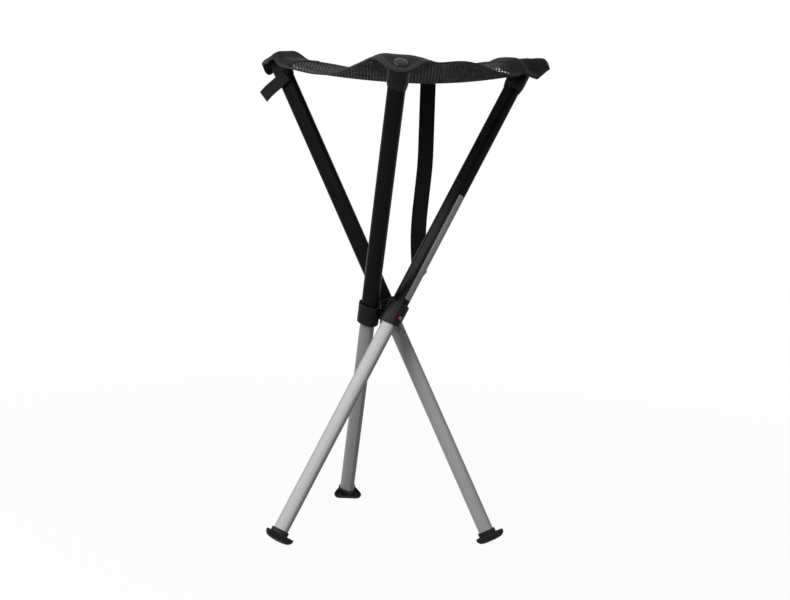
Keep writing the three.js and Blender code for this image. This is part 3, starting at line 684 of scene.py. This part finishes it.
def mesh_pieces(material):
    """Seat's mesh as one piece for each leg, from the seat's middle to the corner's seam."""
    half_rib, half_thread = RIB_WIDTH / 2, THREAD_WIDTH / 2
    across = mesh_lines(RIB_PITCH, (-half_rib, 0.0, half_rib))
    along = mesh_lines(THREAD_PITCH, (-half_thread, half_thread))
    a, b = np.meshgrid(across, along, indexing="ij")
    cos, sin = math.cos(RIB_TURN), math.sin(RIB_TURN)
    x, y = a * cos - b * sin, a * sin + b * cos
    crest = np.where(np.arange(len(across)) % 3 == 1, RIB_CREST, 0.0)[:, None]
    height = seat_height(x, y) + crest
    middle_x, middle_y = ((values[:-1, :-1] + values[1:, 1:]) / 2 for values in (x, y))
    between_ribs = np.arange(len(across) - 1) % 3 == 2
    between_threads = np.arange(len(along) - 1) % 2 == 1
    cloth = within_hems(middle_x, middle_y) & ~(between_ribs[:, None] & between_threads[None, :])
    reach = np.stack([middle_x * OUTWARD[leg].x + middle_y * OUTWARD[leg].y for leg in LEGS])
    owner = np.argmax(reach, axis=0)
    pieces = []
    for place, leg in enumerate(LEGS):
        limit = ridge_distance(leg) - PANEL_INSIDE_RIDGE + SEAM_OVERLAP
        used = {}
        faces = []
        for i, j in zip(*np.nonzero(cloth & (owner == place) & (reach[place] < limit))):
            corners = ((i, j), (i + 1, j), (i + 1, j + 1), (i, j + 1))
            faces.append([used.setdefault(corner, len(used)) for corner in corners])
        vertices = [(HUB.x + x[key], HUB.y + y[key], height[key]) for key in used]
        piece = new_object(f"seat_mesh_{leg}", vertices, faces, material)
        pieces.append(thicken(piece, MESH_THICKNESS))
    return pieces


# Corner hoods of solid cloth, from the mesh's seam over the ridge and the cap to the flap's end
HOOD_COLUMNS = 24
HOOD_STEP = 0.003
HOOD_ROLL_STEPS = 4
SEAM_SHARES = (1, 0.7, 0.4, 0.15)
SEAM_LIFT = 0.0011
WAVE_HEIGHT = 0.0011
WAVE_SIZE = 0.024
FLAT_ROUND_RIVET = 0.02
WAVE_RISE = 0.014


def edge_half(leg, along, sign):
    """Half-width of the seat at a level distance from the hub's axis, towards a leg's corner."""
    edge = EDGES[leg] if sign > 0 else EDGES[LEGS[LEGS.index(leg) - 1]][::-1]
    near = [point - HUB for point in edge[:EDGE_STEPS // 3]][::-1]
    reaches = [point.dot(OUTWARD[leg]) for point in near]
    sides = [abs(point.dot(SIDEWAYS[leg])) for point in near]
    return float(np.interp(along, reaches, sides))


def flap_half(leg, reach):
    """Half-width of a corner's cloth, from its ridge to the flap's rounded end."""
    flap = CORNERS[leg]["flap"]
    share = (reach + RIDGE_REACH) / (flap + RIDGE_REACH)
    past = clamped(reach - (flap - FLAP_END_RADIUS), FLAP_END_RADIUS)
    straight = RIDGE_HALF + (CORNERS[leg]["flap_half"] - RIDGE_HALF) * share
    return straight - FLAP_END_RADIUS + math.sqrt(FLAP_END_RADIUS ** 2 - past ** 2)


def seam_row(leg, inside, shares):
    """Row of a hood's points on the seat's cloth, a level distance inside the ridge."""
    aim, side = OUTWARD[leg], SIDEWAYS[leg]
    row = []
    for share in shares:
        ridge = cloth_place(leg, -RIDGE_REACH, share * RIDGE_HALF) - HUB
        half = edge_half(leg, ridge.dot(aim) - inside, math.copysign(1, share))
        level = ridge - aim * inside + side * share * (half - RIDGE_HALF)
        height = float(seat_height(level.x, level.y)) + SEAM_LIFT
        row.append(Vector((HUB.x + level.x, HUB.y + level.y, height)))
    return row


def hood_rows(leg):
    shares = [2 * step / HOOD_COLUMNS - 1 for step in range(HOOD_COLUMNS + 1)]
    rows = [seam_row(leg, PANEL_INSIDE_RIDGE * inside, shares) for inside in SEAM_SHARES]
    end = CORNERS[leg]["flap"] - FLAP_END_RADIUS
    count = round((end + RIDGE_REACH) / HOOD_STEP)
    reaches = [-RIDGE_REACH + (end + RIDGE_REACH) * step / count for step in range(count + 1)]
    reaches += [end + FLAP_END_RADIUS * math.sin(math.pi / 2 * step / HOOD_ROLL_STEPS)
                for step in range(1, HOOD_ROLL_STEPS + 1)]
    for reach in reaches:
        half = flap_half(leg, reach)
        rows.append([cloth_place(leg, reach, share * half) for share in shares])
    return rows


def ruffle(obj, leg):
    """Shallow waves in the cloth, none where it lies on the cap."""
    rivet = FRAMES[leg] @ Vector((0, 0, CLOTH_BASE))
    mesh = obj.data
    for vertex in mesh.vertices:
        away = clamped(((vertex.co - rivet).length - FLAT_ROUND_RIVET) / WAVE_RISE)
        vertex.co.z += noise.noise(vertex.co / WAVE_SIZE) * WAVE_HEIGHT * away
    mesh.update()


def hood(leg, material):
    """Corner's solid cloth, and its flat area."""
    rows = hood_rows(leg)
    points = [point for row in rows for point in row]
    faces = grid_faces(len(rows), HOOD_COLUMNS + 1)
    piece = new_object(f"corner_hood_{leg}", points, faces, material)
    area = sum(face.area for face in piece.data.polygons)
    thicken(piece, CLOTH_THICKNESS, smooth_levels=1)
    ruffle(piece, leg)
    return piece, area


# Hem: a rolled binding round each corner, sewn down with two rows of stitches
HEM_WIDTH = 0.0100
HEM_ROLL = 0.0018
HEM_FLAT = 0.0011
HEM_CROWN_PLACE = HEM_WIDTH * 0.6
HEM_CROWN = HEM_FLAT * 1.1
HEM_ROLL_STEPS = 6
HEM_STEP = 0.003
HEM_SMOOTHING = 10
CORNER_STEPS = 26
CORNER_POWER = 0.9
FLAP_END_SHARES = (0.6, 0.2)
INSIDE_SHARE = 0.97
STITCH_PITCH = 0.0040
STITCH_LENGTH = 0.0027
STITCH_WIDTH = 0.0008
STITCH_ROWS = (0.0042, 0.0086)
STITCH_LIFT = 1.25
NORMAL_PROBE = 0.002


def seat_normal(point):
    """Normal of the seat's cloth a little nearer its middle, where its height is smooth."""
    inside = HUB + (point - HUB) * INSIDE_SHARE
    x, y = inside.x - HUB.x, inside.y - HUB.y
    slope_x = float(seat_height(x + NORMAL_PROBE, y) - seat_height(x - NORMAL_PROBE, y))
    slope_y = float(seat_height(x, y + NORMAL_PROBE) - seat_height(x, y - NORMAL_PROBE))
    return Vector((-slope_x, -slope_y, 2 * NORMAL_PROBE)).normalized()


def corner_normal(leg, reach, across):
    further, nearer = reach + NORMAL_PROBE, reach - NORMAL_PROBE
    ahead = cloth_place(leg, further, across) - cloth_place(leg, nearer, across)
    left, right = across + NORMAL_PROBE, across - NORMAL_PROBE
    beside = cloth_place(leg, reach, left) - cloth_place(leg, reach, right)
    return ahead.cross(beside).normalized()


def hem_line(leg):
    """Outer edge of a corner's hem and the cloth's normal along it, from mid-edge to mid-edge."""
    before = EDGES[LEGS[LEGS.index(leg) - 1]][EDGE_STEPS // 2:]
    after = EDGES[leg][:EDGE_STEPS // 2 + 1]
    flap = CORNERS[leg]["flap"]
    outline = []
    for step in range(CORNER_STEPS + 1):
        turn = math.pi / 2 * step / CORNER_STEPS
        reach = -RIDGE_REACH + (flap + RIDGE_REACH) * math.sin(turn) ** CORNER_POWER
        outline.append((reach, flap_half(leg, reach)))
    outline += [(flap, half * outline[-1][1]) for half in FLAP_END_SHARES]
    corner = [(reach, -half) for reach, half in outline] + outline[::-1]
    line = [(point, seat_normal(point)) for point in before[:-1]]
    line += [(cloth_place(leg, *place), corner_normal(leg, *place)) for place in corner]
    line += [(point, seat_normal(point)) for point in after[1:]]
    return line


def even(points, normals, step):
    """Points and normals again at even steps along the line."""
    length = run_along(points)
    at = np.linspace(0, length[-1], round(length[-1] / step) + 1)
    return [np.stack([np.interp(at, length, values[:, axis]) for axis in range(3)], axis=1)
            for values in (points, normals)]


def swept(name, points, normals, section, material):
    """Closed band along a line: section points are (distance inward, height along the normal)."""
    tangents = np.gradient(points, axis=0)
    tangents /= np.linalg.norm(tangents, axis=1, keepdims=True)
    sides = np.cross(normals, tangents)
    sides /= np.linalg.norm(sides, axis=1, keepdims=True)
    ups = np.cross(tangents, sides)
    vertices = [tuple(points[k] + sides[k] * inward + ups[k] * rise)
                for k in range(len(points)) for inward, rise in section]
    faces = closed_tube_faces(len(points), len(section))
    piece = new_object(name, vertices, faces, material)
    face_out(piece)
    return piece, tangents, sides, ups


def hem_section():
    points = [(HEM_WIDTH, -HEM_FLAT), (HEM_WIDTH, HEM_FLAT), (HEM_CROWN_PLACE, HEM_CROWN)]
    for step in range(HEM_ROLL_STEPS + 1):
        turn = math.pi / 2 + math.pi * step / HEM_ROLL_STEPS
        points.append((HEM_ROLL + HEM_ROLL * math.cos(turn), HEM_ROLL * math.sin(turn)))
    points.append((HEM_CROWN_PLACE, -HEM_CROWN))
    return points


def hem_stitches(name, points, tangents, sides, ups, thread):
    size = Matrix.Diagonal((STITCH_LENGTH / 2, STITCH_WIDTH / 2, STITCH_WIDTH / 2, 1))
    length = run_along(points)
    sheet = bmesh.new()
    for row in STITCH_ROWS:
        for at in np.arange(STITCH_PITCH, length[-1] - STITCH_PITCH, STITCH_PITCH):
            k = int(np.searchsorted(length, at))
            place = points[k] + sides[k] * row + ups[k] * HEM_FLAT * STITCH_LIFT
            turn = Matrix([list(tangents[k]), list(sides[k]), list(ups[k])]).transposed().to_4x4()
            bmesh.ops.create_icosphere(
                sheet, subdivisions=1, radius=1, matrix=Matrix.Translation(place) @ turn @ size)
    stitches = bpy.data.meshes.new(name)
    sheet.to_mesh(stitches)
    sheet.free()
    stitches.materials.append(thread)
    return add_object(name, stitches)


def hem(leg, material, thread):
    """Binding round a corner, and its stitches."""
    points, normals = (np.array(values) for values in zip(*hem_line(leg)))
    points, normals = (
        smoothed(values, HEM_SMOOTHING) for values in even(points, normals, HEM_STEP))
    piece, *axes = swept(f"seat_hem_band_{leg}", points, normals, hem_section(), material)
    return piece, hem_stitches(f"hem_stitches_{leg}", points, *axes, thread)


# Webbing: the strap that hangs from the back edge and the tail at the left corner
RIB_SAMPLES = 4
STRAP_WIDTH = 0.025
STRAP_THICKNESS = 0.0015
STRAP_LENGTH = 0.338
STRAP_RIBS = 9
STRAP_GROOVE = 0.28
STRAP_STEPS = 54
STRAP_POINT = 0.012
STRAP_TIP_SHARE = 0.14
STRAP_EDGE_SHARE = 0.339
STRAP_UNDER_HEM = HEM_WIDTH * 0.55
STRAP_TOP = 0.004
STRAP_SWING = 0.004
STRAP_SWING_TURN = 2.3
STRAP_SWAY_DOWN = (0, 0.15, 0.24, 0.275, 0.31, 0.345)
STRAP_SWAY = (0, -0.0045, 0, -0.0005, -0.004, -0.008)
SWAY_SAMPLES = 60
SWAY_SMOOTHING = 12
TAIL_WIDTH = 0.020
TAIL_THICKNESS = 0.0016
TAIL_RIBS = 5
TAIL_GROOVE = 0.6
TAIL_DIP = math.radians(13)
TAIL_BELOW_TOP = 0.0395
TAIL_OFF_CAP = 0.0005
TAIL_WRAP_START, TAIL_WRAP = -10, 14
TAIL_WRAP_STEPS = 7
TAIL_STEP = 0.003
TAIL_STEPS = 13
TAIL_START_AIM, TAIL_RISE, TAIL_TOP_AIM, TAIL_FALL = (
    math.radians(degrees) for degrees in (-2, 4.5, 27, 2.5))
TAIL_RISE_STEPS = 7
TAIL_SAG = -0.0045
TAIL_SAG_START, TAIL_SAG_RUN = 8, 12


def webbing(name, stations, thickness, ribs, material, groove):
    """Ribbed band through stations of middle, width direction, normal and width."""
    samples = ribs * RIB_SAMPLES
    vertices = []
    for middle, across, normal, width in stations:
        for face in (1, -1):
            for step in range(samples + 1):
                share = step / samples if face > 0 else 1 - step / samples
                rise = 1 - groove + groove * abs(math.sin(math.pi * share * ribs))
                side = across * width * (share - 0.5)
                vertices.append(middle + side + normal * face * rise * thickness / 2)
    count = 2 * (samples + 1)
    faces = tube_faces(len(stations), count)
    for base in (0, (len(stations) - 1) * count):
        for step in range(samples):
            faces.append((base + step, base + step + 1,
                          base + count - 2 - step, base + count - 1 - step))
    piece = new_object(name, vertices, faces, material)
    face_out(piece)
    return piece


def carry_strap(material):
    edge = EDGES["right"]
    reach = STRAP_EDGE_SHARE * EDGE_STEPS
    step = int(reach)
    top = edge[step].lerp(edge[step + 1], reach - step)
    along = (edge[-1] - edge[0]).normalized()
    along.z = 0
    along.normalize()
    inward = Vector((-along.y, along.x, 0))
    top += inward * STRAP_UNDER_HEM
    top.z -= HEM_ROLL
    sway_down = np.linspace(0, STRAP_LENGTH, SWAY_SAMPLES)
    sway_along = smoothed(np.interp(sway_down, STRAP_SWAY_DOWN, STRAP_SWAY), SWAY_SMOOTHING)
    stations = []
    for place in range(STRAP_STEPS + 1):
        down = STRAP_LENGTH * place / STRAP_STEPS
        turn = down / STRAP_LENGTH * STRAP_SWING_TURN
        swing = STRAP_SWING * math.sin(turn)
        sway = float(np.interp(down, sway_down, sway_along))
        middle = top + inward * swing + along * sway + Vector((0, 0, STRAP_TOP - down))
        slope = STRAP_SWING * STRAP_SWING_TURN / STRAP_LENGTH * math.cos(turn)
        run = Vector((0, 0, -1)) + inward * slope
        left = max(STRAP_LENGTH - down, 0)
        taper = STRAP_TIP_SHARE + (1 - STRAP_TIP_SHARE) * left / STRAP_POINT
        stations.append((middle, along, run.cross(along).normalized(), STRAP_WIDTH * min(1, taper)))
    return webbing(
        "carry_strap_webbing", stations, STRAP_THICKNESS, STRAP_RIBS, material, STRAP_GROOVE)


def tail_path():
    """Tail's middle line, in the leg's plan: round the cap's side, then off it and over."""
    radius = SIDE_RADIUS + CAP_OUTSIDE + TAIL_OFF_CAP + TAIL_THICKNESS / 2
    path = []
    for step in range(TAIL_WRAP_STEPS + 1):
        turn = math.radians(TAIL_WRAP_START + TAIL_WRAP * step / TAIL_WRAP_STEPS)
        path.append(Vector((radius * math.sin(turn), radius * math.cos(turn) - SIDE_CENTRE, 0)))
    aim = TAIL_START_AIM
    for step in range(TAIL_STEPS):
        if step < TAIL_RISE_STEPS:
            aim = min(aim + TAIL_RISE, TAIL_TOP_AIM)
        else:
            aim -= TAIL_FALL
        path.append(path[-1] + Vector((math.cos(aim), math.sin(aim), 0)) * TAIL_STEP)
    return path


def strap_tail(material):
    frame = FRAMES["left"]
    dip = Matrix.Rotation(TAIL_DIP, 4, "Y")
    path = tail_path()
    stations = []
    for step, point in enumerate(path):
        before, after = path[max(step - 1, 0)], path[min(step + 1, len(path) - 1)]
        run = (after - before).normalized()
        sag = TAIL_SAG * (max(step - TAIL_SAG_START, 0) / TAIL_SAG_RUN) ** 2
        height = UPPER_REACH - TAIL_BELOW_TOP + sag
        middle = frame @ (dip @ point + Vector((0, 0, height)))
        across = frame.to_3x3() @ (dip.to_3x3() @ Vector((0, 0, 1)))
        normal = frame.to_3x3() @ (dip.to_3x3() @ Vector((-run.y, run.x, 0)))
        stations.append((middle, across, normal, TAIL_WIDTH))
    return webbing(
        "strap_tail_webbing", stations, TAIL_THICKNESS, TAIL_RIBS, material, TAIL_GROOVE)


# Bare silver plate round the rounded edge of the right tube, where the product has its label
PLATE_THICKNESS = 0.0003
PLATE_GAP = 0.0001
PLATE_START, PLATE_END = 220, 304
PLATE_APEX = math.radians(270)
PLATE_LOW, PLATE_HIGH = 0.031, 0.219
PLATE_CORNER = 0.002
PLATE_STEPS = 18
PLATE_SHARP_ANGLE = math.radians(40)


def label_plate(material):
    frame = FRAMES["right"]
    centre = Vector((math.cos(PLATE_APEX), math.sin(PLATE_APEX), 0)) * TUBE_CORNER_CENTRE
    width = math.radians(PLATE_END - PLATE_START) * TUBE_CORNER_RADIUS
    inner, outer = PLATE_GAP, PLATE_GAP + PLATE_THICKNESS
    section = ((inner, PLATE_LOW), (inner, PLATE_HIGH), (outer, PLATE_HIGH), (outer, PLATE_LOW))
    points = []
    for step in range(PLATE_STEPS + 1):
        turn = math.radians(PLATE_START + (PLATE_END - PLATE_START) * step / PLATE_STEPS)
        side = min(width * step / PLATE_STEPS, width * (1 - step / PLATE_STEPS), PLATE_CORNER)
        trim = PLATE_CORNER - math.sqrt(PLATE_CORNER ** 2 - (PLATE_CORNER - side) ** 2)
        for lift, end in section:
            inset = trim if end == PLATE_LOW else -trim
            out = Vector((math.cos(turn), math.sin(turn), 0)) * (TUBE_CORNER_RADIUS + lift)
            points.append(frame @ (centre + out + Vector((0, 0, end + inset))))
    faces = closed_tube_faces(PLATE_STEPS + 1, len(section))
    piece = new_object("label_plate", points, faces, material)
    piece.data.set_sharp_from_angle(angle=PLATE_SHARP_ANGLE)
    face_out(piece)
    return piece


mesh_cloth = ribbed_mesh()
solid_cloth = woven("solid_cloth", 0.016, 0.0012, 0.03)
# The hem's cloth is lighter than the solid cloth: a painted highlight for the light that its rolled
# edge catches
hem_cloth = woven("hem_cloth", 0.030, 0.0010, 0.10)
thread = woven("stitch_thread", 0.030, 0.0005, 0.05)
strap_webbing = woven("strap_webbing", 0.007, 0.0016, 0.0)
tail_webbing = ribbed_webbing()

for leg, piece in zip(LEGS, mesh_pieces(mesh_cloth)):
    fold_with(piece)
    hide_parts("seat_panel")
    top, top_area = hood(leg, solid_cloth)
    fold_with(top)
    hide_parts(f"corner_patch_{leg}")
    band, sewn = hem(leg, hem_cloth, thread)
    for trim in (band, sewn):
        fold_with(trim)
    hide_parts(f"seat_hem_{leg}")

strap = carry_strap(strap_webbing)
fold_with(strap)
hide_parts("carry_strap")
tail = strap_tail(tail_webbing)
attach(tail, "leg_left")
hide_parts("strap_tail")
plate = label_plate(silver_plate())
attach(plate, "leg_right")


# Stage and light
FLOOR_HALF = 12.0
FLOOR_SEEN = 0.9
FLOOR_BOUNCE = 0.09
GLOW_SHARES = (0.94, 1.0)
GLOW_REACH = (0.5, 2.2)
WORLD_LIGHT = 0.08
LAMP_TARGET = Vector((0, 0, 0.4))
LAMPS = (
    ("key", Vector((-2.0, -1.1, 2.1)), 2.2, 76),
    ("fill", Vector((1.8, -1.8, 1.0)), 1.4, 2),
)


def pale_floor():
    """Pale matt surface that looks white, keeps soft shadows and throws little light upwards."""
    n = Surface("floor_pale")
    matt = n.add("ShaderNodeBsdfDiffuse", {"Color": grey(FLOOR_SEEN)})
    bounce = n.add("ShaderNodeBsdfDiffuse", {"Color": grey(FLOOR_BOUNCE)})
    glow = n.add("ShaderNodeEmission", {"Color": grey(1), "Strength": 1.0})
    away = n.add("ShaderNodeVectorMath", {0: n.place()}, operation="LENGTH").outputs["Value"]
    white = n.add("ShaderNodeMixShader", {
        0: n.remap(away, *GLOW_REACH, *GLOW_SHARES), 1: matt.outputs[0], 2: glow.outputs[0]})
    mixed = n.add("ShaderNodeMixShader", {
        0: n.background_rays(), 1: bounce.outputs[0], 2: white.outputs[0]})
    n.feed(n.tree.nodes["Material Output"], "Surface", mixed.outputs[0])
    return n.material


def make_stage():
    mesh = bpy.data.meshes.new("floor")
    corners = [(x * FLOOR_HALF, y * FLOOR_HALF, 0) for x, y in ((-1, -1), (1, -1), (1, 1), (-1, 1))]
    mesh.from_pydata(corners, [], [(0, 1, 2, 3)])
    floor = add_object("floor", mesh)
    mesh.materials.append(pale_floor())


def area_lamp(name, place, size, power):
    data = bpy.data.lights.new(name, "AREA")
    data.shape = "DISK"
    data.size = size
    data.energy = power
    lamp = add_object(name, data)
    lamp.location = place
    lamp.rotation_euler = (LAMP_TARGET - place).to_track_quat("-Z", "Y").to_euler()


def make_world():
    world = bpy.data.worlds.new("world")
    bpy.context.scene.world = world
    world.use_nodes = True
    n = Nodes(world.node_tree)
    background = n.tree.nodes["Background"]
    n.feed(background, "Strength", n.remap(n.background_rays(), 0, 1, WORLD_LIGHT, 1.0))
    n.feed(background, "Color", grey(1))


make_stage()
make_world()
for lamp in LAMPS:
    area_lamp(*lamp)
bpy.context.scene.view_settings.view_transform = "Standard"
